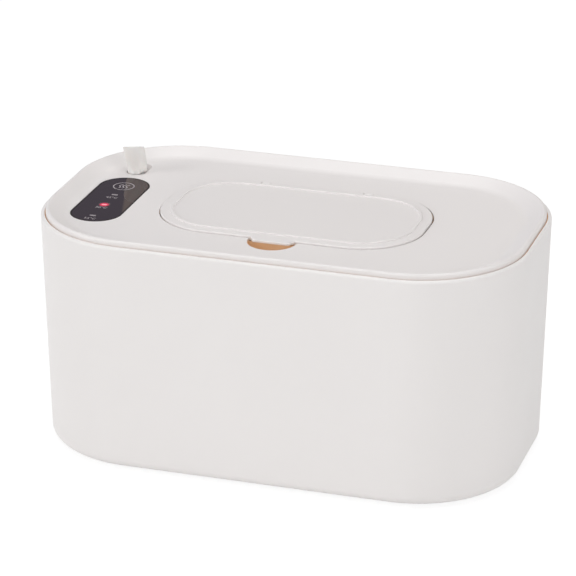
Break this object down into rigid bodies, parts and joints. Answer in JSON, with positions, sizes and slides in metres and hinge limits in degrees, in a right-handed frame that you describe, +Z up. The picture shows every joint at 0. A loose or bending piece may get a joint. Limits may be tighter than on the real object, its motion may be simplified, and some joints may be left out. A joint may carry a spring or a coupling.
{
  "type": "baby wipe warmer",
  "caption": "Oval tub warmer for wet wipes, with a lift-off heated lid, a hinged dispensing flap, a touch window and a stoppered filling slot.",
  "frame": {"origin": "centre of the footprint, on the surface that the feet stand on", "axes": "+X towards the end without the control window, +Y towards the back where the power inlet is, +Z up; -Y is the front with the finger tab"},
  "size_m": [0.22, 0.133, 0.1183],
  "materials": {
    "casing_plastic": "satin",
    "tank_plastic": "satin",
    "foam": "matte",
    "foot_rubber": "matte",
    "screw_steel": "satin",
    "lid_plastic": "satin",
    "lid_base_plastic": "satin",
    "seal_silicone": "matte",
    "frame_plastic": "satin",
    "pin_steel": "satin",
    "flap_plastic": "satin",
    "window_acrylic": "gloss",
    "shield_plastic": "matte",
    "touch_foam": "matte",
    "board_laminate": "gloss",
    "led_epoxy": "gloss",
    "stopper_silicone": "matte",
    "socket_plastic": "gloss",
    "wire_jacket": "satin",
    "plate_aluminium": "satin",
    "film_polyimide": "gloss",
    "sensor_epoxy": "gloss"
  },
  "bodies": {
    "base": {"outer_casing": "casing_plastic", "inner_tank": "tank_plastic", "side_insulation": "foam", "base_insulation": "foam", "rubber_feet": "foot_rubber", "tank_screws": "screw_steel"},
    "lid": {"lid_cover": "lid_plastic", "lid_base": "lid_base_plastic", "lid_seal": "seal_silicone", "lid_screws": "screw_steel", "dispensing_frame": "frame_plastic", "hinge_pins": "pin_steel", "control_window": "window_acrylic", "light_shield": "shield_plastic", "touch_pad": "touch_foam", "control_board": "board_laminate", "indicator_leds": "led_epoxy", "dc_socket": "socket_plastic", "power_wires": "wire_jacket", "heater_wires": "wire_jacket", "heating_plate": "plate_aluminium", "heating_film": "film_polyimide", "heater_insulation": "foam", "plate_screws": "screw_steel", "thermistor": "sensor_epoxy", "thermal_fuse": "sensor_epoxy"},
    "flap": {"flap_cover": "flap_plastic", "flap_liner": "lid_base_plastic", "flap_seal": "seal_silicone"},
    "stopper": {"inlet_stopper": "stopper_silicone"}
  },
  "joints": [
    {"name": "lid_lift", "type": "slide", "parent": "base", "child": "lid", "axis": [0, 0, 1], "range_m": [0, 0.06]},
    {"name": "flap_hinge", "type": "hinge", "parent": "lid", "child": "flap", "pos_m": [0, 0.03255, 0.1045], "axis": [-1, 0, 0], "range_deg": [0, 95]},
    {"name": "stopper_lift", "type": "slide", "parent": "lid", "child": "stopper", "axis": [0, 0, 1], "range_m": [0, 0.014]}
  ]
}
